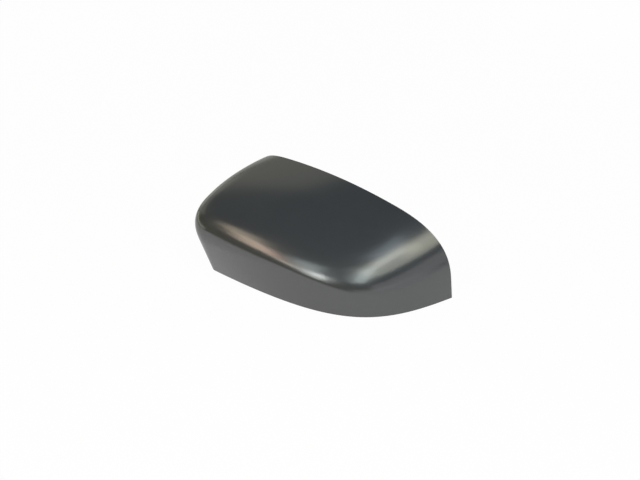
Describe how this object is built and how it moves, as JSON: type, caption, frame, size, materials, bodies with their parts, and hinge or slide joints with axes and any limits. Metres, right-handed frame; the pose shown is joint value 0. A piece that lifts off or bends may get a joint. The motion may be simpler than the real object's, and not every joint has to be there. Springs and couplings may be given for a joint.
{
  "type": "wing mirror cover",
  "caption": "Moulded outer cover of a car's wing mirror: a crowned shell with a soft edge, a thin rim lip, one trimmed side, and catches, clips and pegs inside.",
  "frame": {"origin": "in the plane of the rim, under the middle of the cover's footprint", "axes": "+X along the cover, from its deep square end to its rounded end; +Y towards the trimmed side; +Z from the rim up to the crown"},
  "size_m": [0.222, 0.098, 0.0863],
  "materials": {
    "cover_plastic": "satin dark grey, primed moulded plastic"
  },
  "bodies": {
    "root": {"mirror_cover": "cover_plastic"}
  },
  "joints": []
}
